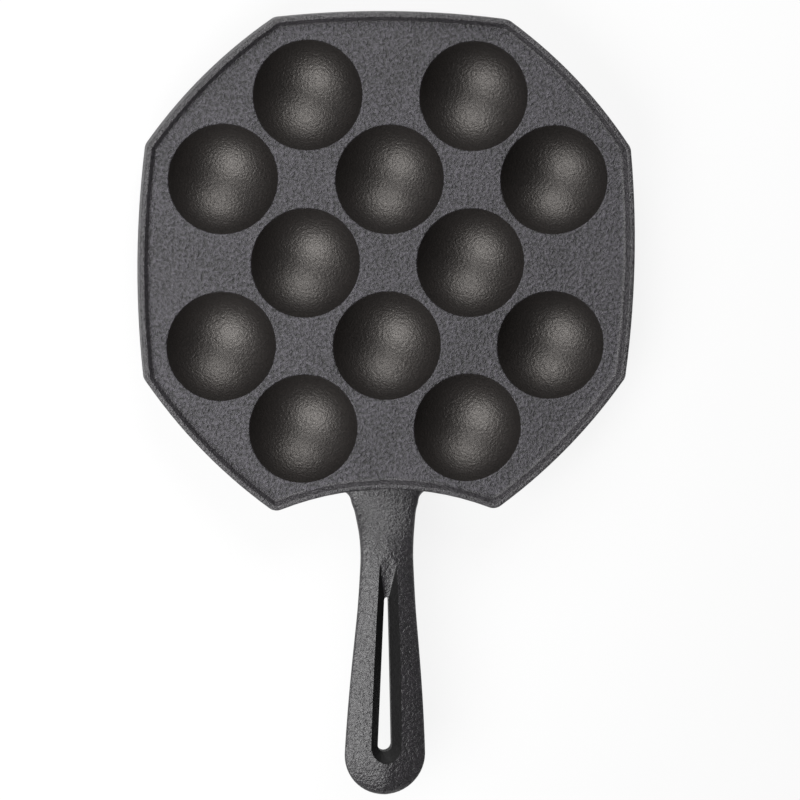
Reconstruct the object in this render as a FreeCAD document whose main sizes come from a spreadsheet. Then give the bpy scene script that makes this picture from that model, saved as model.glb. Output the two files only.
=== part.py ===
"""Cast-iron takoyaki pan: an octagonal plate with twelve round cups and a cast handle.

The pan is one casting. Each region of it is its own solid, and regions meet face to face.
Frame: +Z up, the handle points to -Y, the origin is at the bottom centre of the whole pan.
Lengths are millimetres. Names that end in _y are measured from the plate's centre.
"""
import math
import os
import re

import FreeCAD
import Part
import Sketcher

# Driving dimensions: name, value, what it is
DIMENSIONS = [
    ("cup_radius", 20.0, "radius of a cup's mouth"),
    ("cup_depth", 18.0, "depth of a cup below the deck"),
    ("cup_web", 3.13, "deck left between two neighbouring mouths"),
    ("cup_floor", 4.0, "iron under the middle of a cup"),
    ("cup_gap", 0.12, "half of the space between two neighbouring cup walls"),
    ("foot_sag", 0.8, "how much of a cup's outer ball is cut away for its flat foot"),
    ("plate_thickness", 5.0, "thickness of the deck plate"),
    ("edge_margin", 10.4, "from the outer cups' mouths to the pan's edge, at mid side"),
    ("corner_run", 12.0, "from an outer cup's centre line to the corner of its side"),
    ("side_bow", 2.5, "how far a side bows out"),
    ("diagonal_bow", 3.0, "how far a slanted side bows out"),
    ("front_arch", 8.1, "how far the side at the handle is arched in"),
    ("front_inset", 1.5, "how much narrower the side at the handle is, each end"),
    ("corner_radius", 4.5, "rounding of the eight corners"),
    ("rim_width", 3.4, "thickness of the raised rim"),
    ("rim_height", 9.0, "height of the rim's outer wall"),
    ("lip_height", 3.0, "height of the rim above the deck"),
    ("lip_rounding", 0.9, "rounding of the rim's top edges"),
    ("root_width", 36.0, "width of the handle's root where it meets the rim"),
    ("root_thickness", 8.4, "thickness of the handle's root at the rim"),
    ("neck_width", 19.5, "narrowest width of the handle"),
    ("neck_thickness", 7.5, "thickness of the handle at its narrowest"),
    ("neck_reach", 15.7, "from the pan's front corners to the narrowest point"),
    ("neck_rise", 7.0, "height of the neck's middle above the deck"),
    ("grip_width", 30.0, "widest part of the grip"),
    ("grip_length", 74.0, "from the narrowest point to the widest"),
    ("grip_thickness", 8.4, "thickness of the grip at its widest"),
    ("grip_rise", 10.0, "height of the grip's middle above the deck at its widest"),
    ("slot_narrow_radius", 0.9, "half width of the slot at its narrow end"),
    ("slot_round_radius", 2.7, "half width of the slot at its round end"),
    ("slot_start", 16.4, "from the neck's narrowest point to the slot's narrow end"),
    ("slot_end_wall", 18.6, "from the handle's end to the middle of the slot's round end"),
    ("bevel_angle", 34.0, "slope of the slot's countersunk wall, in degrees from upright"),
    ("bevel_depth", 5.4, "depth of the countersink below the grip's crown"),
]

# Dimensions that follow from the driving ones: name, formula
DERIVED = [
    ("grid_step", "(2 * cup_radius + cup_web ) / sqrt(2)"),
    ("deck_height", "cup_floor + cup_depth"),
    ("plate_underside", "deck_height - plate_thickness"),
    ("ball_radius", "(cup_radius ^ 2 + cup_depth ^ 2) / (2 * cup_depth)"),
    ("ball_height", "cup_floor + ball_radius"),
    ("collar_radius", "cup_radius + cup_web / 2 - cup_gap"),
    ("collar_rise", "plate_underside + foot_sag"),
    ("shell_radius", "(collar_radius ^ 2 + collar_rise ^ 2) / (2 * collar_rise)"),
    ("shell_height", "shell_radius - foot_sag"),
    ("half_pan", "2 * grid_step + cup_radius + edge_margin"),
    ("corner_far", "half_pan - side_bow"),
    ("corner_near", "grid_step + corner_run"),
    ("front_near", "corner_near - front_inset"),
    ("arch_y", "half_pan - front_arch"),
    ("neck_y", "half_pan + neck_reach"),
    ("wide_y", "neck_y + grip_length"),
    ("handle_end", "wide_y + grip_width / 2"),
    ("plate_y", "(handle_end - half_pan ) / 2"),
    ("rim_bottom", "deck_height + lip_height - rim_height"),
    ("root_z", "rim_bottom + rim_height / 2"),
    ("neck_z", "deck_height + neck_rise"),
    ("wide_z", "deck_height + grip_rise"),
    ("root_run", "neck_y - arch_y"),
    ("slot_narrow_y", "neck_y + slot_start"),
    ("slot_round_y", "handle_end - slot_end_wall"),
    ("bevel_z", "wide_z + grip_thickness / 2 - bevel_depth"),
]

# Rows of cups from the far one, and the cups of the short and long rows that take turns,
# all in grid steps from the plate's centre
CUP_ROWS = (2, 1, 0, -1, -2)
SHORT_ROW = (-1, 1)
LONG_ROW = (-2, 0, 2)

# Handle sections between the rim and the neck: part of the run, of the change in width,
# and of the rise
ROOT_SECTIONS = [(-0.25, 1.6, 0.0), (0.0, 1.0, 0.02), (0.14, 0.46, 0.1), (0.32, 0.22, 0.32),
                 (0.56, 0.1, 0.66), (0.8, 0.02, 0.92), (1.0, 0.0, 1.0)]
# Handle sections from the neck to the widest point: part of the run and of the change in width
GRIP_SECTIONS = [(0.1, 0.06), (0.345, 0.32), (0.67, 0.71), (1.0, 1.0)]
# Sections of the rounded end: part of its length, and part of the widest section
TIP_SECTIONS = [(0.35, 0.937), (0.62, 0.785), (0.82, 0.572), (0.94, 0.341), (1.0, 0.1)]

doc = FreeCAD.newDocument("takoyaki_pan")
sheet = doc.addObject("Spreadsheet::Sheet", "sizes")
NAMES = [entry[0] for entry in DIMENSIONS + DERIVED]


def fill_sheet():
    """Write the driving dimensions and the formulas that follow from them."""
    row = 1
    for name, value, note in DIMENSIONS:
        sheet.set(f"A{row}", name)
        sheet.set(f"B{row}", str(value))
        sheet.set(f"C{row}", note)
        sheet.setAlias(f"B{row}", name)
        row += 1
    for name, formula in DERIVED:
        doc.recompute()
        sheet.set(f"A{row}", name)
        sheet.set(f"B{row}", "=" + formula)
        sheet.setAlias(f"B{row}", name)
        row += 1
    doc.recompute()


def cell(name):
    """Value of a cell as a plain number, negative where the name starts with a minus."""
    if name.startswith("-"):
        return -cell(name[1:])
    return float(sheet.get(name))


def linked(formula):
    """Formula with every cell name written as a reference to the sheet."""
    def reference(word):
        return f"sizes.{word[0]}" if word[0] in NAMES else word[0]

    return re.sub(r"[a-z_]+", reference, formula)


def add(kind, name, formulas):
    """Add an object and bind its properties to the sheet."""
    obj = doc.addObject(kind, name)
    for prop, formula in formulas.items():
        obj.setExpression(prop, linked(formula))
    return obj


def combine(kind, name, base, tool):
    """Boolean of two objects."""
    obj = doc.addObject(kind, name)
    obj.Base = base
    obj.Tool = tool
    return obj


def offset(name, source, distance):
    """Face with its edge moved outwards by the distance, with round corners."""
    obj = add("Part::Offset2D", name, {"Value": distance})
    obj.Source = source
    obj.Mode = "Skin"
    obj.Join = "Arc"
    return obj


def extrude(name, source, bottom, height):
    """Solid prism of a flat face or closed wire, upwards from the bottom height."""
    obj = add("Part::Extrusion", name, {
        "LengthFwd": height,
        "Placement.Base.y": "plate_y",
        "Placement.Base.z": bottom,
    })
    obj.Base = source
    obj.DirMode = "Custom"
    obj.Dir = FreeCAD.Vector(0, 0, 1)
    obj.Solid = True
    return obj


def fix_point(sketch, geometry, point, x_name, y_name):
    """Tie a point of a sketch to two signed cells."""
    for kind, name in (("DistanceX", x_name), ("DistanceY", y_name)):
        away = (geometry, point)
        pair = away + (-1, 1) if name.startswith("-") else (-1, 1) + away
        index = sketch.addConstraint(Sketcher.Constraint(kind, *pair, abs(cell(name))))
        sketch.setExpression(f"Constraints[{index}]", linked(name.lstrip("-")))


def bowed_side(start, end, bow):
    """Arc from start to end that bows to the right of its way by the given height."""
    chord = end - start
    radius = (chord.Length ** 2 / 4 + bow ** 2) / (2 * abs(bow))
    side = FreeCAD.Vector(chord.y, -chord.x, 0)
    side.normalize()
    sign = 1 if bow > 0 else -1
    centre = (start + end) * 0.5 - side * sign * (radius - abs(bow))
    ends = (start, end) if bow > 0 else (end, start)
    angles = [math.atan2(p.y - centre.y, p.x - centre.x) for p in ends]
    circle = Part.Circle(centre, FreeCAD.Vector(0, 0, 1), radius)
    return Part.ArcOfCircle(circle, angles[0], angles[1])


def pan_edge():
    """Sketch of the pan's edge: eight bowed sides, the one at the handle arched inwards."""
    corners = [
        ("corner_far", "corner_near"),
        ("corner_near", "corner_far"),
        ("-corner_near", "corner_far"),
        ("-corner_far", "corner_near"),
        ("-corner_far", "-corner_near"),
        ("-front_near", "-half_pan"),
        ("front_near", "-half_pan"),
        ("corner_far", "-corner_near"),
    ]
    bows = ["diagonal_bow", "side_bow"] * 4
    front = corners.index(("-front_near", "-half_pan"))
    bows[front] = "front_arch"
    sketch = doc.addObject("Sketcher::SketchObject", "pan_edge")
    points = [FreeCAD.Vector(cell(x_name), cell(y_name), 0) for x_name, y_name in corners]
    starts = []
    for index, bow in enumerate(bows):
        following = (index + 1) % len(corners)
        height = -cell(bow) if index == front else cell(bow)
        sketch.addGeometry(bowed_side(points[index], points[following], height), False)
        starts.append(2 if index == front else 1)
    for index, (x_name, y_name) in enumerate(corners):
        before = index - 1 if index else len(corners) - 1
        fix_point(sketch, index, starts[index], x_name, y_name)
        ending = 3 - starts[before]
        sketch.addConstraint(Sketcher.Constraint("Coincident", before, ending, index, starts[index]))
    for index, bow in enumerate(bows):
        following = (index + 1) % len(corners)
        chord = chord_formula(corners[index], corners[following])
        radius = f"({chord} / 4 + {bow} ^ 2) / (2 * {bow})"
        value = sketch.Geometry[index].Radius
        number = sketch.addConstraint(Sketcher.Constraint("Radius", index, value))
        sketch.setExpression(f"Constraints[{number}]", linked(radius))
    return sketch


def chord_formula(start, end):
    """Square of the distance between two corners, as a formula."""
    parts = []
    for a_name, b_name in zip(start, end):
        a_term = a_name.replace("-", "0 - ")
        b_term = b_name.replace("-", "0 - ")
        parts.append(f"(({b_term}) - ({a_term}) ) ^ 2")
    return "(" + " + ".join(parts) + ")"


def slot_edge():
    """Sketch of the slot: a narrow round end, a wide round end and the two lines between."""
    near, far = cell("slot_narrow_radius"), cell("slot_round_radius")
    top = FreeCAD.Vector(0, -cell("slot_narrow_y"), 0)
    bottom = FreeCAD.Vector(0, -cell("slot_round_y"), 0)
    lean = math.asin((far - near) / (top - bottom).Length)
    up = FreeCAD.Vector(0, 0, 1)
    sketch = doc.addObject("Sketcher::SketchObject", "slot_edge")
    half_turn = math.pi - lean
    narrow_end = Part.ArcOfCircle(Part.Circle(top, up, near), lean, half_turn)
    round_end = Part.ArcOfCircle(Part.Circle(bottom, up, far), half_turn, 2 * math.pi + lean)
    to_left = FreeCAD.Vector(-math.cos(lean), math.sin(lean), 0)
    to_right = FreeCAD.Vector(math.cos(lean), math.sin(lean), 0)
    left = Part.LineSegment(top + to_left * near, bottom + to_left * far)
    right = Part.LineSegment(bottom + to_right * far, top + to_right * near)
    for line in (narrow_end, round_end, left, right):
        sketch.addGeometry(line, False)
    for first, second in (((0, 2), (2, 1)), ((2, 2), (1, 1)), ((1, 2), (3, 1)), ((3, 2), (0, 1))):
        sketch.addConstraint(Sketcher.Constraint("Tangent", *first, *second))
    for arc, radius_name, y_name in ((0, "slot_narrow_radius", "slot_narrow_y"),
                                     (1, "slot_round_radius", "slot_round_y")):
        sketch.addConstraint(Sketcher.Constraint("PointOnObject", arc, 3, -2))
        number = sketch.addConstraint(Sketcher.Constraint("DistanceY", arc, 3, -1, 1, cell(y_name)))
        sketch.setExpression(f"Constraints[{number}]", linked(y_name))
        number = sketch.addConstraint(Sketcher.Constraint("Radius", arc, cell(radius_name)))
        sketch.setExpression(f"Constraints[{number}]", linked(radius_name))
    return sketch


def cup_places():
    """Grid places of the cups, from the far left one, row by row."""
    places = []
    for index, row in enumerate(CUP_ROWS):
        columns = LONG_ROW if index % 2 else SHORT_ROW
        places += [(column, row) for column in columns]
    return places


def ball(name, radius, column, row, height):
    """Ball on the axis of the cup at a grid place."""
    return add("Part::Sphere", name, {
        "Radius": radius,
        "Placement.Base.x": f"{column} * grid_step",
        "Placement.Base.y": f"plate_y + {row} * grid_step",
        "Placement.Base.z": height,
    })


def make_cup(number, column, row):
    """Bowl under the plate, round inside and out, with a small flat foot."""
    outer = ball(f"cup_shell_{number:02d}", "shell_radius", column, row, "shell_height")
    inner = ball(f"cup_space_{number:02d}", "ball_radius", column, row, "ball_height")
    band = add("Part::Cylinder", f"cup_band_{number:02d}", {
        "Radius": "shell_radius + plate_thickness",
        "Height": "plate_underside",
        "Placement.Base.x": f"{column} * grid_step",
        "Placement.Base.y": f"plate_y + {row} * grid_step",
    })
    body = combine("Part::Common", f"cup_body_{number:02d}", outer, band)
    return combine("Part::Cut", f"cup_{number:02d}", body, inner)


def make_plate(inner_edge):
    """Deck plate, with the top of every cup cut through it."""
    block = extrude("plate_block", inner_edge, "plate_underside", "plate_thickness")
    spaces = doc.addObject("Part::MultiFuse", "plate_spaces")
    balls = []
    for number, (column, row) in enumerate(cup_places(), start=1):
        balls.append(ball(f"plate_space_{number:02d}", "ball_radius", column, row, "ball_height"))
    spaces.Shapes = balls
    return combine("Part::Cut", "cooking_plate", block, spaces)


def make_rim(outer_edge, inner_edge):
    """Raised rim around the plate, its top edges rounded."""
    outer = extrude("rim_outer", outer_edge, "rim_bottom", "rim_height")
    inner = extrude("rim_inner", inner_edge, "rim_bottom", "rim_height")
    ring = combine("Part::Cut", "rim_ring", outer, inner)
    doc.recompute()
    top = cell("deck_height") + cell("lip_height")
    rounding = cell("lip_rounding")
    rim = doc.addObject("Part::Fillet", "rim")
    rim.Base = ring
    rim.Edges = [
        (index, rounding, rounding)
        for index, edge in enumerate(ring.Shape.Edges, start=1)
        if min(vertex.Z for vertex in edge.Vertexes) > top - rounding / 2
    ]
    return rim


def handle_section(name, y_formula, width, thickness, height):
    """Oval across the handle."""
    oval = add("Part::Ellipse", name, {
        "MajorRadius": f"({width}) / 2",
        "MinorRadius": f"({thickness}) / 2",
        "Placement.Base.y": f"plate_y - ({y_formula})",
        "Placement.Base.z": height,
    })
    turn = FreeCAD.Rotation(FreeCAD.Vector(1, 0, 0), 90)
    oval.Placement = FreeCAD.Placement(oval.Placement.Base, turn)
    return oval


def make_handle():
    """Whole handle without its slot, from inside the rim to the rounded end."""
    ovals = []
    for number, (run, widening, rise) in enumerate(ROOT_SECTIONS, start=1):
        ovals.append(handle_section(
            f"root_section_{number}",
            f"arch_y + {run} * root_run",
            f"neck_width + {widening} * (root_width - neck_width)",
            f"root_thickness + {rise} * (neck_thickness - root_thickness)",
            f"root_z + {rise} * (neck_z - root_z)",
        ))
    for number, (run, widening) in enumerate(GRIP_SECTIONS, start=1):
        ovals.append(handle_section(
            f"grip_section_{number}",
            f"neck_y + {run} * grip_length",
            f"neck_width + {widening} * (grip_width - neck_width)",
            f"neck_thickness + {run} * (grip_thickness - neck_thickness)",
            f"neck_z + {run} * (wide_z - neck_z)",
        ))
    for number, (run, size) in enumerate(TIP_SECTIONS, start=1):
        ovals.append(handle_section(
            f"tip_section_{number}",
            f"wide_y + {run} * (handle_end - wide_y)",
            f"{size} * grip_width",
            f"{size} * grip_thickness",
            "wide_z",
        ))
    loft = doc.addObject("Part::Loft", "handle_blank")
    loft.Sections = ovals
    loft.Solid = True
    loft.Ruled = True
    return loft


def half_space(name, first_y, length):
    """Block that holds the handle between two distances from the plate's centre."""
    return add("Part::Box", name, {
        "Length": "4 * grip_width",
        "Width": length,
        "Height": "4 * deck_height",
        "Placement.Base.x": "-2 * grip_width",
        "Placement.Base.y": f"plate_y - ({first_y}) - ({length})",
        "Placement.Base.z": "-1 * deck_height",
    })


def make_handle_neck(blank, outer_edge):
    """Part of the handle from the rim to its narrowest point."""
    near = combine("Part::Common", "neck_blank", blank, half_space("neck_room", "0", "neck_y"))
    pan_room = extrude("pan_room", outer_edge, "-1 * deck_height", "4 * deck_height")
    return combine("Part::Cut", "handle_neck", near, pan_room)


def make_handle_grip(blank):
    """Part of the handle past its narrowest point, with the countersunk hanging slot."""
    room = half_space("grip_room", "neck_y", "2 * grip_length")
    far = combine("Part::Common", "grip_blank", blank, room)
    edge = slot_edge()
    through = extrude("slot_through", edge, "0", "4 * deck_height")
    bevel = extrude("slot_bevel", edge, "bevel_z", "2 * grip_thickness")
    bevel.setExpression("TaperAngle", linked("bevel_angle"))
    slotted = combine("Part::Cut", "grip_slotted", far, through)
    return combine("Part::Cut", "handle_grip", slotted, bevel)


def build():
    """Make every region of the casting and return them in order."""
    face = doc.addObject("Part::Face", "pan_face")
    face.Sources = [pan_edge()]
    shrunk = offset("pan_shrunk", face, "-1 * corner_radius")
    outer_edge = offset("pan_outer", shrunk, "corner_radius")
    inner_edge = offset("pan_inner", outer_edge, "-1 * rim_width")
    regions = [make_plate(inner_edge), make_rim(outer_edge, inner_edge)]
    for number, (column, row) in enumerate(cup_places(), start=1):
        regions.append(make_cup(number, column, row))
    blank = make_handle()
    regions.append(make_handle_neck(blank, outer_edge))
    regions.append(make_handle_grip(blank))
    doc.recompute()
    return regions


def check(regions):
    """Stop if any object failed or any region isn't one valid solid."""
    for obj in doc.Objects:
        if "Invalid" in obj.State or "Error" in obj.State:
            raise RuntimeError(f"{obj.Name} failed: {obj.State}")
    for region in regions:
        shape = region.Shape
        if shape.isNull() or not shape.isValid() or len(shape.Solids) != 1:
            raise RuntimeError(f"{region.Name} is not one valid solid")


def export(regions):
    """Write each region to its own file, named by its label."""
    os.makedirs("parts", exist_ok=True)
    for region in regions:
        region.Label = region.Name
        region.Shape.exportStep(f"parts/{region.Label}.step")
        box = region.Shape.BoundBox
        print(f"{region.Label}: {region.Shape.Volume:.1f} mm3, z {box.ZMin:.2f} to {box.ZMax:.2f}")


fill_sheet()
regions = build()
check(regions)
export(regions)
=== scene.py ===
"""Looks of a cast-iron takoyaki pan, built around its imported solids.

The real pan is one sand casting, so its looks are one closed mesh: an octagonal pan with a raised
rim, twelve bored cups and a handle with a countersunk hanging slot. Sizes are taken from the
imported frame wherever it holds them. Lengths in the code are metres, and MM turns millimetres
into metres.
"""

import logging
import math
from contextlib import contextmanager
from dataclasses import dataclass, field
from enum import Enum
from typing import Callable, Iterator

import bpy
from mathutils import Matrix, Vector
from mathutils.kdtree import KDTree

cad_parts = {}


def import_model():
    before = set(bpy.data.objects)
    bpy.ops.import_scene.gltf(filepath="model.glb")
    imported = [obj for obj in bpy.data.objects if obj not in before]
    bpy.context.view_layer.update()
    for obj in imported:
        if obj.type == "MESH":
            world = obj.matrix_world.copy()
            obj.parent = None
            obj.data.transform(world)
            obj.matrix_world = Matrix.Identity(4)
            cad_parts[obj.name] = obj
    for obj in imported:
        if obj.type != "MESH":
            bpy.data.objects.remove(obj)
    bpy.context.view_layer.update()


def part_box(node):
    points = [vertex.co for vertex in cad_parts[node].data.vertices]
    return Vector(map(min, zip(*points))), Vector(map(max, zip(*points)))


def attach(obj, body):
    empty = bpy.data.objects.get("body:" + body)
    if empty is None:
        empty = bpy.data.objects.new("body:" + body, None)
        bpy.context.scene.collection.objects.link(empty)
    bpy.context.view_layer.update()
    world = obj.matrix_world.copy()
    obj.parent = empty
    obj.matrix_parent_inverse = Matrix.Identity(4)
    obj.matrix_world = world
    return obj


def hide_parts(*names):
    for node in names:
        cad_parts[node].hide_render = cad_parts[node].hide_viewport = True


MM = 0.001
MERGE_DISTANCE = 0.00001
CUT_THRESHOLD = MM / 1000
LOG = logging.getLogger("takoyaki_pan")

Point = tuple[float, float, float]
Section = tuple[float, float, float, float]


class Cut(Enum):
    """What a boolean does with its second shape."""

    REMOVE = "DIFFERENCE"
    JOIN = "UNION"


class Keep(Enum):
    """Which side of a level cut stays."""

    ABOVE = "above"
    BELOW = "below"


class Zone(Enum):
    """Regions of the casting's skin, each with the number of its material slot."""

    DECK = 0
    CUP = 1
    HANDLE = 2
    SLOT = 3
    RIM = 4


def mix(a: float, b: float, part: float) -> float:
    """Value a part of the way from a to b."""
    return a + (b - a) * part


def limit(value: float) -> float:
    """Value held between 0 and 1."""
    return min(max(value, 0.0), 1.0)


def signed_power(value: float, power: float) -> float:
    """Power of a value's size, with the value's sign."""
    return math.copysign(abs(value) ** power, value)


def curve(values: tuple[float, ...], part: float) -> float:
    """Smooth curve through four values.

    Args:
        values: The four values, evenly spaced.
        part: The part of the way from the second value to the third.

    Returns:
        The curve's value there.
    """
    before, start, end, after = values
    slope_in, slope_out = (end - before) / 2, (after - start) / 2
    square, cube = part * part, part ** 3
    return (start * (2 * cube - 3 * square + 1) + end * (3 * square - 2 * cube)
            + slope_in * (cube - 2 * square + part) + slope_out * (cube - square))


def deselect_all() -> None:
    """Leave edit mode and select nothing."""
    if bpy.context.object and bpy.context.object.mode != "OBJECT":
        bpy.ops.object.mode_set(mode="OBJECT")
    bpy.ops.object.select_all(action="DESELECT")


def activate(obj: bpy.types.Object) -> None:
    """Make an object the only selected one, and the active one.

    Args:
        obj: The object to work on next.
    """
    deselect_all()
    obj.select_set(True)
    bpy.context.view_layer.objects.active = obj


@contextmanager
def editing(obj: bpy.types.Object) -> Iterator[None]:
    """Open an object in edit mode, with faces selected, for as long as the block runs.

    Args:
        obj: The object to edit.
    """
    activate(obj)
    bpy.ops.object.mode_set(mode="EDIT")
    bpy.ops.mesh.select_mode(type="FACE")
    yield
    bpy.ops.object.mode_set(mode="OBJECT")


def choose_faces(obj: bpy.types.Object, test: Callable[[Vector, Vector], bool]) -> None:
    """Select the faces of a mesh that pass a test, and nothing else. Called outside edit mode.

    Args:
        obj: The object whose faces are selected.
        test: Gets a face's centre and its normal.
    """
    mesh = obj.data
    for group in (mesh.vertices, mesh.edges):
        group.foreach_set("select", [False] * len(group))
    for face in mesh.polygons:
        face.select = test(face.center, face.normal)


def fix_normals(obj: bpy.types.Object) -> None:
    """Merge doubles and turn every face outwards.

    Args:
        obj: The closed body to mend.
    """
    with editing(obj):
        bpy.ops.mesh.select_all(action="SELECT")
        bpy.ops.mesh.remove_doubles(threshold=MERGE_DISTANCE)
        bpy.ops.mesh.normals_make_consistent(inside=False)


def extrude(step: Point) -> None:
    """Extrude the selected faces by a step. Called in edit mode."""
    bpy.ops.mesh.extrude_region_move(TRANSFORM_OT_translate={"value": step})


def cut_level(height: float, keep: Keep) -> None:
    """Cut the mesh at a height, close the cut and drop one side. Called in edit mode.

    Args:
        height: Where the level cut runs.
        keep: The side that stays.
    """
    bpy.ops.mesh.select_all(action="SELECT")
    bpy.ops.mesh.bisect(plane_co=(0, 0, height), plane_no=(0, 0, 1), use_fill=True,
                        clear_inner=keep is Keep.ABOVE, clear_outer=keep is Keep.BELOW,
                        threshold=CUT_THRESHOLD)


def boolean(obj: bpy.types.Object, tool: bpy.types.Object, cut: Cut) -> None:
    """Cut a shape from an object or join it on, and delete the shape.

    Args:
        obj: The object that changes.
        tool: The closed shape to cut with or to join.
        cut: Which of the two is done.
    """
    activate(obj)
    modifier = obj.modifiers.new("boolean", "BOOLEAN")
    modifier.operation = cut.value
    modifier.solver = "EXACT"
    modifier.object = tool
    bpy.ops.object.modifier_apply(modifier=modifier.name)
    bpy.data.objects.remove(tool, do_unlink=True)


def add_ball(name: str, radius: float, centre: Point, segments: int,
             rings: int) -> bpy.types.Object:
    """Add a ball with its place in its mesh.

    Args:
        name: The name of the new object.
        radius: Its radius.
        centre: Its centre.
        segments: How many faces run around it.
        rings: How many faces run from pole to pole.

    Returns:
        The ball.
    """
    deselect_all()
    bpy.ops.mesh.primitive_uv_sphere_add(segments=segments, ring_count=rings, radius=radius,
                                         location=centre)
    ball = bpy.context.object
    ball.name = name
    activate(ball)
    bpy.ops.object.transform_apply(location=True, rotation=True, scale=True)
    return ball


def add_outline(name: str, points: list[Point]) -> bpy.types.Object:
    """Add a flat filled circle and move its vertices onto an outline.

    Args:
        name: The name of the new object.
        points: The outline, in order.

    Returns:
        The new object, one face.
    """
    deselect_all()
    bpy.ops.mesh.primitive_circle_add(vertices=len(points), radius=MM, fill_type="NGON")
    obj = bpy.context.object
    obj.name = name
    for vertex, point in zip(obj.data.vertices, points):
        vertex.co = point
    obj.data.update()
    return obj


def loft(name: str, rings: list[list[Point]]) -> bpy.types.Object:
    """Extrude a flat outline from ring to ring, which closes it at both ends.

    Extruding doesn't keep the order of the vertices, so each new vertex is known by the old
    place it still lies on.

    Args:
        name: The name of the new object.
        rings: Closed lines with equally many points.

    Returns:
        The closed body.
    """
    obj = add_outline(name, rings[0])
    with editing(obj):
        bpy.ops.mesh.select_all(action="SELECT")
    for ring, next_ring in zip(rings, rings[1:]):
        with editing(obj):
            extrude((0, 0, 0))
        places = KDTree(len(ring))
        for number, point in enumerate(ring):
            places.insert(point, number)
        places.balance()
        for vertex in obj.data.vertices:
            if vertex.select:
                vertex.co = next_ring[places.find(vertex.co)[1]]
    obj.data.update()
    fix_normals(obj)
    return obj


@dataclass(frozen=True)
class Side:
    """One bowed side of the pan, an arc of a circle.

    bulge is 1 where the side bows outwards and -1 where it arches inwards.
    """

    centre: Vector
    radius: float
    bulge: int

    @classmethod
    def through(cls, start: Vector, end: Vector, bow: float) -> "Side":
        """Side between two corners.

        Args:
            start: The first corner, anticlockwise round the pan.
            end: The second corner.
            bow: How far the side's middle lies outside the chord, negative for inside.

        Returns:
            The side.
        """
        chord = end - start
        radius = (chord.length_squared / 4 + bow * bow) / (2 * abs(bow))
        outward = Vector((chord.y, -chord.x)).normalized()
        bulge = 1 if bow > 0 else -1
        centre = (start + end) / 2 + outward * (bow - bulge * radius)
        return cls(centre, radius, bulge)

    def reach(self, inset: float) -> float:
        """Radius of the line that lies this far inside the pan's edge."""
        return self.radius - self.bulge * inset

    def foot(self, place: Vector, inset: float) -> Vector:
        """Point of that line that is nearest to a place."""
        return self.centre + (place - self.centre).normalized() * self.reach(inset)


def corner_centre(one: Side, other: Side, inset: float, near: Vector) -> Vector:
    """Place that lies this far inside two sides.

    Args:
        one: The first side.
        other: The second side.
        inset: How far inside both of them it lies.
        near: Their corner, which tells the two such places apart.

    Returns:
        The one of the two that is nearest to the corner.
    """
    between = other.centre - one.centre
    first, second = one.reach(inset), other.reach(inset)
    along = (first ** 2 - second ** 2 + between.length_squared) / (2 * between.length)
    across = math.sqrt(max(first ** 2 - along ** 2, 0.0))
    way = between.normalized()
    turned = Vector((-way.y, way.x))
    options = [one.centre + way * along + turned * across * sign for sign in (1, -1)]
    return min(options, key=lambda option: (option - near).length)


def arc(centre: Vector, start: Vector, end: Vector, steps: int) -> list[Vector]:
    """Points on the short arc between two points.

    Args:
        centre: The arc's centre.
        start: Its first point.
        end: Its last point, which is left out.
        steps: How many points it gets.

    Returns:
        The points, from the start on.
    """
    first, last = start - centre, end - centre
    turn = math.atan2(first.x * last.y - first.y * last.x, first.dot(last))
    points = []
    for number in range(steps):
        angle = turn * number / steps
        cosine, sine = math.cos(angle), math.sin(angle)
        points.append(centre + Vector((first.x * cosine - first.y * sine,
                                       first.x * sine + first.y * cosine)))
    return points


def rounding(centre: tuple[float, float], radius: float, start: float, end: float,
             steps: int) -> list[tuple[float, float]]:
    """Points of a rounding in a section.

    Args:
        centre: Its centre, as inset and height.
        radius: Its radius.
        start: Its first angle, in degrees.
        end: Its last angle, in degrees.
        steps: How many points it gets.

    Returns:
        Pairs of inset and height.
    """
    angles = [math.radians(mix(start, end, number / (steps - 1))) for number in range(steps)]
    return [(centre[0] + radius * math.cos(angle), centre[1] + radius * math.sin(angle))
            for angle in angles]


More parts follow.
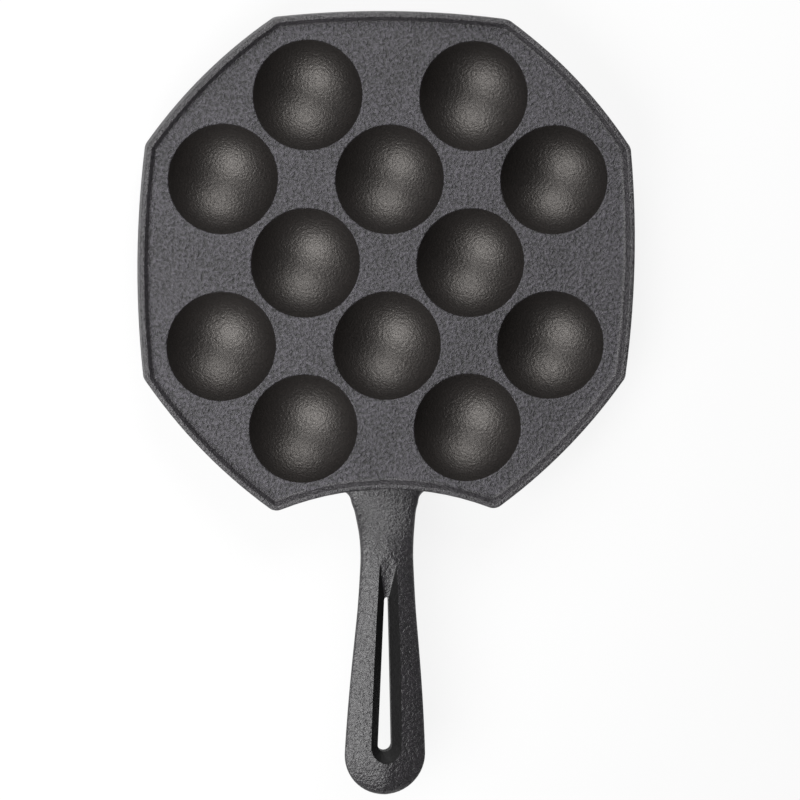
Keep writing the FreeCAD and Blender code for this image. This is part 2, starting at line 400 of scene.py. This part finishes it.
@dataclass
class PanShape:
    """The pan without its cups: an octagon with bowed sides, an arched front and a raised rim.

    Everything with a place across the rim, from lip_width to rim_width, is measured inwards from
    the pan's edge. The deck meets the rim in a hollow fillet, from wall_foot to fillet_end, that
    rises by fillet_rise of the rim's height. The fillet's foot and the lip are joined by a wall
    with a slight turn at wall_turn, given as parts of its width and of its height.
    """

    corner_run: float = 12.0 * MM
    side_bow: float = 2.5 * MM
    diagonal_bow: float = 3.0 * MM
    front_side: int = 5
    front_arch: float = 8.1 * MM
    front_inset: float = 1.5 * MM
    corner_radius: float = 4.5 * MM
    least_radius: float = 1.2 * MM
    lip_width: float = 1.95 * MM
    lip_end_deg: float = 20.0
    outer_rounding: float = 0.9 * MM
    inner_rounding: float = 0.4 * MM
    wall_turn: tuple[float, float] = (0.6, 0.45)
    wall_foot: float = 2.9 * MM
    fillet_end: float = 4.7 * MM
    fillet_rise: float = 0.35
    fillet_steps: int = 6
    rim_width: float = 3.4 * MM
    plate_lap: float = 1.0 * MM
    side_steps: int = 14
    corner_steps: int = 7
    low: Vector = field(default_factory=lambda: Vector(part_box("rim")[0]))
    high: Vector = field(default_factory=lambda: Vector(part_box("rim")[1]))
    deck: float = field(default_factory=lambda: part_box("cooking_plate")[1][2])
    underside: float = field(default_factory=lambda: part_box("cooking_plate")[0][2])

    @property
    def half(self) -> float:
        """Half of the pan's width."""
        return self.high.x

    @property
    def centre_y(self) -> float:
        """Place of the plate's centre along the handle."""
        return self.high.y - self.half

    @property
    def front_y(self) -> float:
        """Place of the arched front's middle."""
        return self.centre_y - self.half + self.front_arch

    def corners(self, step: float) -> list[Vector]:
        """The eight corners before rounding.

        Args:
            step: Half of the distance between the columns of the outer cups.

        Returns:
            Their places on the part, anticlockwise from the right.
        """
        near = step + self.corner_run
        far = self.half - self.side_bow
        front = near - self.front_inset
        places = [(far, near), (near, far), (-near, far), (-far, near),
                  (-far, -near), (-front, -self.half), (front, -self.half), (far, -near)]
        return [Vector((x, y + self.centre_y)) for x, y in places]

    def ring(self, step: float, inset: float, z: float) -> list[Point]:
        """Closed line that follows the pan's edge.

        Args:
            step: Half of the distance between the columns of the outer cups.
            inset: How far inside the edge the line runs.
            z: Its height.

        Returns:
            Its points, equally many for every inset.
        """
        corners = self.corners(step)
        count = len(corners)
        bows = [self.diagonal_bow, self.side_bow] * (count // 2)
        bows[self.front_side] = -self.front_arch
        sides = [Side.through(corners[i], corners[(i + 1) % count], bows[i])
                 for i in range(count)]
        radius = max(self.corner_radius - inset, self.least_radius)
        centres = [corner_centre(sides[i - 1], sides[i], inset + radius, corners[i])
                   for i in range(count)]
        points = []
        for i, side in enumerate(sides):
            corner_start = sides[i - 1].foot(centres[i], inset)
            start = side.foot(centres[i], inset)
            end = side.foot(centres[(i + 1) % count], inset)
            points += arc(centres[i], corner_start, start, self.corner_steps)
            points += arc(side.centre, start, end, self.side_steps)
        return [(point.x, point.y, z) for point in points]

    def section(self) -> list[tuple[float, float]]:
        """Section of the rim, from the plate's underside over the lip to the deck.

        Returns:
            Pairs of inset and height.
        """
        top, bottom, deck = self.high.z, self.low.z, self.deck
        big, small = self.outer_rounding, self.inner_rounding
        section = [(self.rim_width + self.plate_lap, self.underside),
                   (self.rim_width, bottom + small),
                   (self.rim_width - small, bottom)]
        section += rounding((big, bottom + big), big, 270, 180, 5)
        section += rounding((big, top - big), big, 180, 90, 6)
        section += rounding((self.lip_width - small, top - small), small, 90, self.lip_end_deg, 4)
        across, down = self.wall_turn
        section += [(mix(self.lip_width, self.wall_foot, across), mix(top, deck, down))]
        run, rise = self.fillet_end - self.wall_foot, self.fillet_rise * (top - deck)
        for number in range(self.fillet_steps + 1):
            angle = math.radians(90) * number / self.fillet_steps
            section.append((self.fillet_end - run * math.cos(angle),
                            deck + rise * (1 - math.sin(angle))))
        return section

    def build(self, step: float) -> bpy.types.Object:
        """Make the pan as a plate with its rim, still without cups.

        Args:
            step: Half of the distance between the columns of the outer cups.

        Returns:
            The pan, closed and with outward faces.
        """
        pan = loft("pan_casting", [self.ring(step, inset, z) for inset, z in self.section()])
        LOG.info("pan with rim: %d faces", len(pan.data.polygons))
        return pan


@dataclass
class CupShape:
    """One bored cup: a round bowl with a rounded mouth and a small flat foot.

    The outer wall is part of a ball that would reach foot_sag below the table, and is cut flat
    there.
    """

    mouth_radius: float
    depth: float
    place: Vector
    deck: float
    underside: float
    mouth_rounding: float = 0.55 * MM
    mouth_end_deg: float = 98.0
    mouth_steps: int = 5
    foot_sag: float = 0.8 * MM
    clearance: float = 6.0 * MM
    tolerance: float = 0.3 * MM
    segments: int = 80
    rings: int = 48

    @property
    def ball_radius(self) -> float:
        """Radius of the ball that the bowl is part of."""
        return (self.mouth_radius ** 2 + self.depth ** 2) / (2 * self.depth)

    @property
    def ball_z(self) -> float:
        """Height of that ball's centre."""
        return self.deck - self.depth + self.ball_radius

    def away(self, place: Vector) -> float:
        """Level distance of a place from the cup's axis."""
        return math.hypot(place.x - self.place.x, place.y - self.place.y)

    def is_bored(self, place: Vector) -> bool:
        """Whether a place lies on the cup's inner wall, below the mouth's rounding.

        Args:
            place: The place.

        Returns:
            True where it does.
        """
        away, height = self.away(place), place.z - self.ball_z
        below_mouth = place.z < self.deck - self.tolerance and away < self.mouth_radius
        return below_mouth and math.hypot(away, height) < self.ball_radius + self.tolerance

    def shell(self) -> bpy.types.Object:
        """Make the bowl's outer wall under the plate, to be joined to the pan.

        Returns:
            The shell, flat at the table and at a height inside the plate.
        """
        collar = (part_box("cup_01")[1][0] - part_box("cup_01")[0][0]) / 2
        rise = self.underside + self.foot_sag
        radius = (collar ** 2 + rise ** 2) / (2 * rise)
        centre = (self.place.x, self.place.y, radius - self.foot_sag)
        shell = add_ball("cup_shell", radius, centre, self.segments, self.rings)
        with editing(shell):
            cut_level(0.0, Keep.ABOVE)
            cut_level((self.deck + self.underside) / 2, Keep.BELOW)
        fix_normals(shell)
        return shell

    def mouth_line(self) -> list[tuple[float, float]]:
        """Rounding between the bowl and the deck.

        Returns:
            Pairs of distance from the axis and height, from the bowl up.
        """
        turn = self.mouth_rounding
        above = self.ball_z - self.deck
        width = math.sqrt((self.ball_radius + turn) ** 2 - (above + turn) ** 2)
        first = math.pi - math.atan2(above + turn, width)
        last = math.radians(self.mouth_end_deg)
        angles = [first + (last - first) * number / self.mouth_steps
                  for number in range(self.mouth_steps + 1)]
        return [(width + turn * math.cos(angle), self.deck - turn + turn * math.sin(angle))
                for angle in angles]

    def space(self) -> bpy.types.Object:
        """Make the bowl's inside with its mouth's rounding, to be cut from the pan.

        Returns:
            The space, which reaches some way above the deck.
        """
        line = self.mouth_line()
        width, height = line[0]
        lid_height = height - MM / 50
        centre = (self.place.x, self.place.y, self.ball_z)
        space = add_ball("cup_space", self.ball_radius, centre, self.segments, self.rings)
        with editing(space):
            cut_level(height, Keep.BELOW)
        fix_normals(space)
        choose_faces(space, lambda place, normal: normal.z > 0.99 and place.z > lid_height)
        with editing(space):
            for next_width, next_height in line[1:] + [(line[-1][0], self.deck + self.clearance)]:
                extrude((0, 0, next_height - height))
                ratio = next_width / width
                pivot = (self.place.x, self.place.y, next_height)
                bpy.ops.transform.resize(value=(ratio, ratio, 1), center_override=pivot)
                width, height = next_width, next_height
        fix_normals(space)
        return space


@dataclass
class HandleShape:
    """Handle: an oval bar that rises from the rim, narrows, widens and ends round.

    Each station holds the place along the handle, half of the width, the thickness and the height
    of the bar's middle, in millimetres, from inside the rim to the grip's widest place. From
    there the bar closes in a round end, whose last section stops just short of a point.

    The top falls to both sides like a low roof, by roof of the thickness. Towards the rim it
    flattens to neck_roof of that, over roof_run, which starts at roof_lead before the grip.
    """

    stations: tuple[Section, ...] = (
        (-29.6, 18.6, 8.2, 20.5),
        (-31.2, 17.0, 8.2, 20.6),
        (-32.5, 14.5, 8.2, 20.9),
        (-34.2, 12.9, 8.2, 21.4),
        (-36.5, 12.3, 8.2, 22.2),
        (-39.2, 11.4, 8.1, 23.4),
        (-43.6, 10.65, 7.9, 25.6),
        (-48.2, 10.05, 7.7, 27.6),
        (-54.7, 9.75, 7.5, 29.0),
        (-62.3, 10.05, 7.6, 29.8),
        (-74.3, 10.8, 7.8, 30.6),
        (-86.2, 11.9, 7.9, 31.1),
        (-98.2, 13.0, 8.0, 31.5),
        (-110.2, 13.95, 8.05, 31.8),
        (-122.2, 14.7, 8.1, 31.95),
        (-128.7, 15.0, 8.1, 32.0),
    )
    end_y: float = field(default_factory=lambda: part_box("handle_grip")[0][1])
    neck_y: float = field(default_factory=lambda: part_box("handle_neck")[0][1])
    slot_start: float = 16.4 * MM
    slot_end_wall: float = 18.6 * MM
    squareness: float = 2.8
    roof: float = 0.6
    neck_roof: float = 0.25
    roof_lead: float = 10.0 * MM
    roof_run: float = 25.0 * MM
    steps_between: int = 3
    tip_steps: int = 14
    tip_end_deg: float = 89.0
    tip_thinning: float = 0.75
    sides: int = 72

    @property
    def slot_narrow_y(self) -> float:
        """Place of the centre of the slot's narrow end."""
        return self.neck_y - self.slot_start

    @property
    def slot_round_y(self) -> float:
        """Place of the centre of the slot's round end."""
        return self.end_y + self.slot_end_wall

    def crown(self, place: float) -> float:
        """Height of the bar's top.

        Args:
            place: The place along the handle.

        Returns:
            The height there, and at the nearest station where the place is off the bar.
        """
        tops = [(y * MM, (z + thickness / 2) * MM) for y, _, thickness, z in self.stations]
        for (start, low), (end, high) in zip(tops, tops[1:]):
            if start >= place >= end:
                return mix(low, high, (start - place) / (start - end))
        return tops[-1][1] if place < tops[-1][0] else tops[0][1]

    def sections(self) -> list[Section]:
        """Sections from inside the rim to the end.

        Returns:
            The place, half width, thickness and height of each.
        """
        result = []
        last = len(self.stations) - 1
        for index in range(last):
            around = [self.stations[min(max(index + step, 0), last)] for step in (-1, 0, 1, 2)]
            for number in range(self.steps_between):
                part = number / self.steps_between
                result.append(tuple(curve(values, part) * MM for values in zip(*around)))
        y, half, thickness, z = (value * MM for value in self.stations[-1])
        reach = y - self.end_y
        for number in range(self.tip_steps):
            angle = math.radians(self.tip_end_deg) * number / (self.tip_steps - 1)
            result.append((y - reach * math.sin(angle), half * math.cos(angle),
                           thickness * math.cos(angle) ** self.tip_thinning, z))
        return result

    def section_point(self, angle: float, section: Section) -> Point:
        """Point of a section, which is a rounded box with a low roof.

        Args:
            angle: The angle around the section.
            section: Its place, half width, thickness and height.

        Returns:
            The point.
        """
        y, half, thickness, z = section
        across = signed_power(math.cos(angle), 2 / self.squareness)
        up = signed_power(math.sin(angle), 2 / self.squareness) * thickness / 2
        if up > 0:
            grip = limit((self.neck_y + self.roof_lead - y) / self.roof_run)
            up *= 1 - self.roof * mix(self.neck_roof, 1.0, grip) * abs(across)
        return across * half, y, z + up

    def build(self) -> bpy.types.Object:
        """Make the handle by drawing an oval through its sections.

        Returns:
            The handle, still without its slot.
        """
        angles = [2 * math.pi * number / self.sides for number in range(self.sides)]
        handle = loft("handle", [[self.section_point(angle, section) for angle in angles]
                                 for section in self.sections()])
        LOG.info("handle: %d faces", len(handle.data.polygons))
        return handle


@dataclass
class SlotShape:
    """Countersunk hanging slot whose narrow end runs out towards the neck.

    The radii are those of the through slot. The countersink adds the bevels to them at the
    bar's top, and starts run_out before the slot's narrow end.
    """

    narrow_y: float
    round_y: float
    crown: Callable[[float], float]
    narrow_radius: float = 0.85 * MM
    round_radius: float = 2.65 * MM
    narrow_bevel: float = 2.7 * MM
    round_bevel: float = 3.95 * MM
    bevel_depth: float = 4.6 * MM
    bevel_lift: float = 0.05 * MM
    run_out: float = 13.5 * MM
    clear_above: float = 8.0 * MM
    clear_below: float = 20.0 * MM
    sides: int = 64

    def outline(self, near: float, far: float, narrow_y: float, lift: float) -> list[Point]:
        """Teardrop around the slot that follows the bar's top.

        Args:
            near: Radius of its narrow end.
            far: Radius of its round end.
            narrow_y: Place of its narrow end.
            lift: Its height above the bar's top.

        Returns:
            Its points.
        """
        lean = math.asin((far - near) / (narrow_y - self.round_y))
        half = self.sides // 2
        points = []
        for y, radius, start, end in ((narrow_y, near, lean, math.pi - lean),
                                      (self.round_y, far, math.pi - lean, 2 * math.pi + lean)):
            for number in range(half):
                angle = start + (end - start) * number / (half - 1)
                place = y + radius * math.sin(angle)
                points.append((radius * math.cos(angle), place, self.crown(place) + lift))
        return points

    def build(self) -> bpy.types.Object:
        """Make the shape that cuts the slot, wide at the top.

        Returns:
            The cutting shape.
        """
        wide = (self.narrow_radius + self.narrow_bevel, self.round_radius + self.round_bevel,
                self.narrow_y + self.run_out)
        tight = (self.narrow_radius, self.round_radius, self.narrow_y)
        return loft("slot_cutter", [
            self.outline(*wide, self.clear_above),
            self.outline(*wide, self.bevel_lift),
            self.outline(*tight, -self.bevel_depth),
            self.outline(*tight, -self.clear_below)])


def linear(hex_colour: str) -> tuple[float, float, float, float]:
    """Turn an sRGB hex colour into a linear one.

    Args:
        hex_colour: Six hex digits after a hash.

    Returns:
        Red, green, blue and alpha.
    """
    parts = [int(hex_colour[start:start + 2], 16) / 255 for start in (1, 3, 5)]
    red, green, blue = (v / 12.92 if v <= 0.04045 else ((v + 0.055) / 1.055) ** 2.4 for v in parts)
    return red, green, blue, 1.0


def add_node(tree: bpy.types.NodeTree, kind: str, settings: dict[str, object] | None = None,
             **links: object) -> bpy.types.Node:
    """Add a node, set its properties and fill its inputs.

    Args:
        tree: The node tree.
        kind: The node's type name.
        settings: Values for the node's own properties.
        links: Values or output sockets for the inputs, by name with underscores for spaces, or
            by number after an underscore.

    Returns:
        The node.
    """
    node = tree.nodes.new(kind)
    for name, value in (settings or {}).items():
        setattr(node, name, value)
    for name, value in links.items():
        key = int(name[1:]) if name[0] == "_" else name.replace("_", " ")
        socket = node.inputs[key]
        if isinstance(value, bpy.types.NodeSocket):
            tree.links.new(value, socket)
        else:
            socket.default_value = value
    return node


@dataclass(frozen=True)
class CastIron:
    """Grey cast iron under a burnt-on coat of cooking oil.

    The grain is the print of the mould's sand and the pits are its finer part. Both are drawn
    coarser than real grit, which would be too fine to show, and their heights are what the bump
    needs to be seen. The grain is darker in its hollows, where oil and soot stay. What the eye
    meets is oxide and oil, not bare metal, so the metallic value is 0, as for any such coat.
    """

    name: str
    colour: str
    light_colour: str
    roughness: float
    grain_mm: float
    grain_height_mm: float
    pit_mm: float
    grain_contrast: float
    shine: float = 0.9
    shine_colour: str = "#ffffff"
    cloud_mm: float = 22.0
    cloud_contrast: float = 0.12
    roughness_spread: float = 0.06
    pit_height: float = 0.4
    grain_range: tuple[float, float] = (0.36, 0.66)
    noise_range: tuple[float, float] = (0.3, 0.7)

    def build(self) -> bpy.types.Material:
        """Make the material.

        Returns:
            The node material, on Object coordinates.
        """
        material = bpy.data.materials.new(self.name)
        material.use_nodes = True
        tree = material.node_tree
        tree.nodes.clear()
        place = add_node(tree, "ShaderNodeTexCoord").outputs["Object"]
        grain = add_node(tree, "ShaderNodeTexNoise", Vector=place, Scale=1 / (self.grain_mm * MM),
                         Detail=2.0, Roughness=0.55, Distortion=0.3).outputs["Fac"]
        pits = add_node(tree, "ShaderNodeTexNoise", Vector=place, Scale=1 / (self.pit_mm * MM),
                        Detail=3.0, Roughness=0.6).outputs["Fac"]
        cloud = add_node(tree, "ShaderNodeTexNoise", Vector=place, Scale=1 / (self.cloud_mm * MM),
                         Detail=2.0, Roughness=0.5).outputs["Fac"]
        spread = self.spread(tree, grain, self.grain_range, 0.5, self.grain_contrast / 2)
        cloudy = self.spread(tree, cloud, self.noise_range, 0.0, self.cloud_contrast)
        tone = add_node(tree, "ShaderNodeMath", {"operation": "ADD", "use_clamp": True},
                        _0=spread, _1=cloudy).outputs["Value"]
        colour = add_node(tree, "ShaderNodeMix", {"data_type": "RGBA"}, _0=tone,
                          _6=linear(self.colour), _7=linear(self.light_colour)).outputs[2]
        rough = self.spread(tree, pits, self.noise_range, self.roughness, self.roughness_spread)
        height = self.grain_height_mm
        coarse = add_node(tree, "ShaderNodeBump", Strength=1.0, Distance=height * MM,
                          Height=grain).outputs["Normal"]
        bump = add_node(tree, "ShaderNodeBump", Strength=1.0,
                        Distance=height * self.pit_height * MM,
                        Height=pits, Normal=coarse).outputs["Normal"]
        shader = add_node(tree, "ShaderNodeBsdfPrincipled", Base_Color=colour, Roughness=rough,
                          Metallic=0.0, Specular_IOR_Level=self.shine,
                          Specular_Tint=linear(self.shine_colour), Normal=bump)
        add_node(tree, "ShaderNodeOutputMaterial", Surface=shader.outputs["BSDF"])
        return material

    @staticmethod
    def spread(tree: bpy.types.NodeTree, noise: bpy.types.NodeSocket,
               reach: tuple[float, float], middle: float, half: float) -> bpy.types.NodeSocket:
        """Stretch a noise over a range of values.

        Args:
            tree: The node tree.
            noise: The noise's output.
            reach: The part of the noise that is used.
            middle: The middle of the new range.
            half: Half of its width.

        Returns:
            The output with the new values.
        """
        return add_node(tree, "ShaderNodeMapRange", Value=noise, From_Min=reach[0],
                        From_Max=reach[1], To_Min=middle - half,
                        To_Max=middle + half).outputs["Result"]


# Cast iron as the sand mould left it, under one thin coat of oil. The eye sees a charcoal skin
# with a pebble of light and dark grain and a soft sheen that follows the lamps.
SAND_CAST_DECK = CastIron(name="sand_cast_iron", colour="#121113", light_colour="#4a474e",
                          roughness=0.53, grain_mm=1.15, grain_height_mm=0.9, pit_mm=0.5,
                          grain_contrast=1.0)

# The same casting where hands and a file have run along the rim. The grain is lower and closer,
# so the lip carries a clearer line of light than the deck.
SAND_CAST_RIM = CastIron(name="sand_cast_iron_fine", colour="#1b1a1c", light_colour="#413e42",
                         roughness=0.42, grain_mm=1.0, grain_height_mm=0.55, pit_mm=0.5,
                         grain_contrast=0.9)

# Iron that was bored to a smooth bowl and then took several coats of oil. The eye sees a nearly
# black wall with hardly any grain, and each lamp as a soft, slightly warm patch of light.
BORED_CUP = CastIron(name="bored_iron", colour="#110f0f", light_colour="#1f1c1b",
                     roughness=0.45, grain_mm=1.05, grain_height_mm=0.28, pit_mm=0.45,
                     grain_contrast=0.8, shine=1.0, shine_colour="#fff9f4")

# Cast iron from the coarser sand of the mould's outer part. The bumps are wide and the oil on
# them is worn bright, so the handle glints in small spots on a dark ground.
CAST_HANDLE = CastIron(name="sand_cast_iron_coarse", colour="#121113", light_colour="#252226",
                       roughness=0.40, grain_mm=1.3, grain_height_mm=0.5, pit_mm=0.6,
                       grain_contrast=0.8)

# Painted shade in the slot: its steep walls are drawn matt and black, so that the countersink
# reads as a dark groove.
SLOT_PAINTED_SHADE = CastIron(name="slot_painted_shade", colour="#070707", light_colour="#0f0e0f",
                     roughness=0.60, grain_mm=1.5, grain_height_mm=0.2, pit_mm=0.6,
                     grain_contrast=0.5, shine=0.32)

FINISHES = {
    Zone.DECK: SAND_CAST_DECK,
    Zone.CUP: BORED_CUP,
    Zone.HANDLE: CAST_HANDLE,
    Zone.SLOT: SLOT_PAINTED_SHADE,
    Zone.RIM: SAND_CAST_RIM,
}


@dataclass
class TakoyakiPan:
    """The whole casting and its finishes.

    The sizes after cup_depth tell the zones of the skin apart. Within slot_before and slot_after
    of the slot's ends, the slot's walls are the faces steeper than slot_steepness that lie no
    further from the middle than slot_narrow_reach at its narrow end and slot_round_reach at its
    round end, apart from the floor that runs out towards the neck.
    """

    shape: PanShape = field(default_factory=PanShape)
    bar: HandleShape = field(default_factory=HandleShape)
    mouth_radius: float = 20.0 * MM
    cup_depth: float = 18.0 * MM
    handle_reach: float = 19.0 * MM
    rim_gap: float = 2.6 * MM
    rim_lift: float = 0.1 * MM
    slot_narrow_reach: float = 4.2 * MM
    slot_round_reach: float = 7.0 * MM
    slot_before: float = 15.0 * MM
    slot_after: float = 8.0 * MM
    slot_floor_reach: float = 0.8 * MM
    slot_steepness: float = 0.88
    smooth_angle_deg: float = 38.0
    flat_area: float = 100.0 * MM * MM

    def cups(self) -> list[CupShape]:
        """The cups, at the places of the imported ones.

        Returns:
            One shape for each cup.
        """
        cups = []
        for number in range(1, 13):
            low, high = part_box(f"cup_{number:02d}")
            place = Vector(((low[0] + high[0]) / 2, (low[1] + high[1]) / 2, 0))
            cups.append(CupShape(self.mouth_radius, self.cup_depth, place, self.shape.deck,
                                 self.shape.underside))
        return cups

    def build(self) -> bpy.types.Object:
        """Build the casting and dress it.

        Returns:
            The finished piece.
        """
        cups = self.cups()
        pan = self.shape.build(max(cup.place.x for cup in cups) / 2)
        for cup in cups:
            boolean(pan, cup.shell(), Cut.JOIN)
        boolean(pan, self.handle(), Cut.JOIN)
        for cup in cups:
            boolean(pan, cup.space(), Cut.REMOVE)
        fix_normals(pan)
        LOG.info("casting: %d faces", len(pan.data.polygons))
        self.dress(pan, cups)
        return pan

    def handle(self) -> bpy.types.Object:
        """Make the handle and cut its slot.

        Returns:
            The handle, to be joined to the pan.
        """
        handle = self.bar.build()
        slot = SlotShape(narrow_y=self.bar.slot_narrow_y, round_y=self.bar.slot_round_y,
                         crown=self.bar.crown)
        boolean(handle, slot.build(), Cut.REMOVE)
        return handle

    def dress(self, pan: bpy.types.Object, cups: list[CupShape]) -> None:
        """Give each zone its finish, smooth the surface and say what the piece stands for.

        Large faces stay flat, because smooth shading would bend the light across them.

        Args:
            pan: The finished casting.
            cups: Its cups.
        """
        for zone in Zone:
            pan.data.materials.append(FINISHES[zone].build())
        for face in pan.data.polygons:
            face.material_index = self.zone(face.center, face.normal, cups).value
        activate(pan)
        bpy.ops.object.shade_smooth_by_angle(angle=math.radians(self.smooth_angle_deg))
        for face in pan.data.polygons:
            if face.area > self.flat_area:
                face.use_smooth = False
        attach(pan, "root")
        nodes = ["cooking_plate", "rim", "handle_neck", "handle_grip"]
        nodes += [f"cup_{number:02d}" for number in range(1, 13)]
        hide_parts(*nodes)

    def zone(self, centre: Vector, normal: Vector, cups: list[CupShape]) -> Zone:
        """Find the zone of the skin that a face belongs to.

        Args:
            centre: The face's centre.
            normal: Its normal.
            cups: The cups.

        Returns:
            The zone.
        """
        cup = min(cups, key=lambda one: one.away(centre))
        if cup.is_bored(centre):
            return Zone.CUP
        if centre.y < self.shape.front_y and abs(centre.x) < self.handle_reach:
            # The slot's steep walls take the painted shade of the countersink.
            return Zone.SLOT if self.is_slot(centre, normal) else Zone.HANDLE
        off_cups = cup.away(centre) > self.mouth_radius + self.rim_gap
        if off_cups and centre.z > self.shape.deck + self.rim_lift:
            return Zone.RIM
        return Zone.DECK

    def is_slot(self, centre: Vector, normal: Vector) -> bool:
        """Whether a face is one of the slot's steep walls.

        Args:
            centre: The face's centre.
            normal: Its normal.

        Returns:
            True where it is.
        """
        narrow_y, round_y = self.bar.slot_narrow_y, self.bar.slot_round_y
        part = limit((narrow_y - centre.y) / (narrow_y - round_y))
        reach = mix(self.slot_narrow_reach, self.slot_round_reach, part)
        on_floor = centre.y > narrow_y and abs(centre.x) < self.slot_floor_reach
        along = round_y - self.slot_after < centre.y < narrow_y + self.slot_before
        steep = abs(normal.z) < self.slot_steepness
        return along and abs(centre.x) < reach and steep and not on_floor


@dataclass(frozen=True)
class Lamp:
    """Round soft lamp, at a distance from the plate's centre in the direction it shines from."""

    name: str
    direction: Point
    distance: float
    size: float
    watts: float


@dataclass
class Studio:
    """White floor, soft lamps and the camera of the photograph.

    The camera's numbers come from a fit to the mouths of the twelve cups. The camera sees the
    floor and the surroundings white, and reflections see the floor so, while the pan is lit by
    the lamps, the air and the light that the paper throws back.
    """

    focal_px: float = 4000.0
    image_px: float = 800.0
    sensor_mm: float = 36.0
    tilt_deg: Point = (8.21, 9.29, -0.95)
    offset: Point = (-4.18 * MM, 49.99 * MM, -1459.4 * MM)
    lamps: tuple[Lamp, ...] = (
        Lamp("light_far", (-0.02, 0.76, 0.65), 0.72, 0.56, 4.8),
        Lamp("light_near", (-0.46, -0.42, 0.78), 0.50, 0.40, 2.74),
        Lamp("light_left", (-0.9, 0.30, 0.40), 0.75, 0.5, 0.5),
    )
    air_light: float = 0.067
    floor_size: float = 6.0
    paper: float = 0.8
    floor_glow: float = 0.85

    def build(self, origin: Vector) -> None:
        """Add the camera, the lamps, the world and the floor.

        Args:
            origin: The plate's centre at deck height, which the camera's numbers refer to.
        """
        self.camera(origin)
        for lamp in self.lamps:
            self.light(lamp, origin)
        self.world()
        self.floor()

    def camera(self, origin: Vector) -> None:
        """Add the camera where the photograph was taken from.

        Args:
            origin: The place that its numbers refer to.
        """
        tilt_x, tilt_y, tilt_z = (math.radians(angle) for angle in self.tilt_deg)
        turn = (Matrix.Rotation(tilt_x, 3, "X") @ Matrix.Rotation(tilt_y, 3, "Y")
                @ Matrix.Rotation(tilt_z, 3, "Z")).transposed()
        place = origin - turn @ Vector(self.offset)
        data = bpy.data.cameras.new("camera")
        data.sensor_width = self.sensor_mm
        data.lens = self.focal_px / self.image_px * self.sensor_mm
        camera = bpy.data.objects.new("camera", data)
        camera.matrix_world = Matrix.Translation(place) @ turn.to_4x4()
        bpy.context.scene.collection.objects.link(camera)
        bpy.context.scene.camera = camera

    def light(self, lamp: Lamp, origin: Vector) -> None:
        """Add one lamp and point it at the pan.

        Args:
            lamp: The lamp.
            origin: The place that it shines on.
        """
        data = bpy.data.lights.new(lamp.name, "AREA")
        data.shape = "DISK"
        data.size = lamp.size
        data.energy = lamp.watts
        light = bpy.data.objects.new(lamp.name, data)
        direction = Vector(lamp.direction).normalized()
        light.location = origin + direction * lamp.distance
        light.rotation_mode = "QUATERNION"
        light.rotation_quaternion = direction.to_track_quat("Z", "Y")
        bpy.context.scene.collection.objects.link(light)

    def world(self) -> None:
        """Fill the surroundings with an even soft light, seen white by the camera."""
        world = bpy.data.worlds.new("studio")
        world.use_nodes = True
        tree = world.node_tree
        tree.nodes.clear()
        white = (1, 1, 1, 1)
        path = add_node(tree, "ShaderNodeLightPath")
        soft = add_node(tree, "ShaderNodeBackground", Color=white, Strength=self.air_light)
        bright = add_node(tree, "ShaderNodeBackground", Color=white, Strength=1.0)
        choice = add_node(tree, "ShaderNodeMixShader", _0=path.outputs["Is Camera Ray"],
                          _1=soft.outputs[0], _2=bright.outputs[0])
        add_node(tree, "ShaderNodeOutputWorld", Surface=choice.outputs[0])
        bpy.context.scene.world = world

    def floor(self) -> None:
        """Add the white floor, which glows for the camera and in reflections and keeps shadows."""
        deselect_all()
        bpy.ops.mesh.primitive_plane_add(size=self.floor_size, location=(0, 0, 0))
        floor = bpy.context.object
        floor.name = "floor"
        material = bpy.data.materials.new("white_paper")
        material.use_nodes = True
        tree = material.node_tree
        tree.nodes.clear()
        path = add_node(tree, "ShaderNodeLightPath")
        paper = add_node(tree, "ShaderNodeBsdfDiffuse", Color=(self.paper,) * 3 + (1,))
        glow = add_node(tree, "ShaderNodeEmission", Color=(1, 1, 1, 1), Strength=1.0)
        shiny = add_node(tree, "ShaderNodeMath", {"operation": "MAXIMUM"},
                         _0=path.outputs["Is Glossy Ray"],
                         _1=path.outputs["Is Transmission Ray"]).outputs[0]
        seen = add_node(tree, "ShaderNodeMath", {"operation": "MAXIMUM"},
                        _0=path.outputs["Is Camera Ray"], _1=shiny).outputs[0]
        part = add_node(tree, "ShaderNodeMath", {"operation": "MULTIPLY"},
                        _0=seen, _1=self.floor_glow).outputs[0]
        mixed = add_node(tree, "ShaderNodeMixShader", _0=part, _1=paper.outputs[0],
                         _2=glow.outputs[0])
        add_node(tree, "ShaderNodeOutputMaterial", Surface=mixed.outputs[0])
        floor.data.materials.append(material)


def main() -> None:
    """Load the frame, build the pan and the studio."""
    logging.basicConfig(level=logging.INFO, format="%(name)s: %(message)s")
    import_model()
    pan = TakoyakiPan()
    piece = pan.build()
    LOG.info("built %s", piece.name)
    bpy.context.scene.view_settings.view_transform = "Standard"
    Studio().build(Vector((0, pan.shape.centre_y, pan.shape.deck)))


if __name__ == "__main__":
    main()
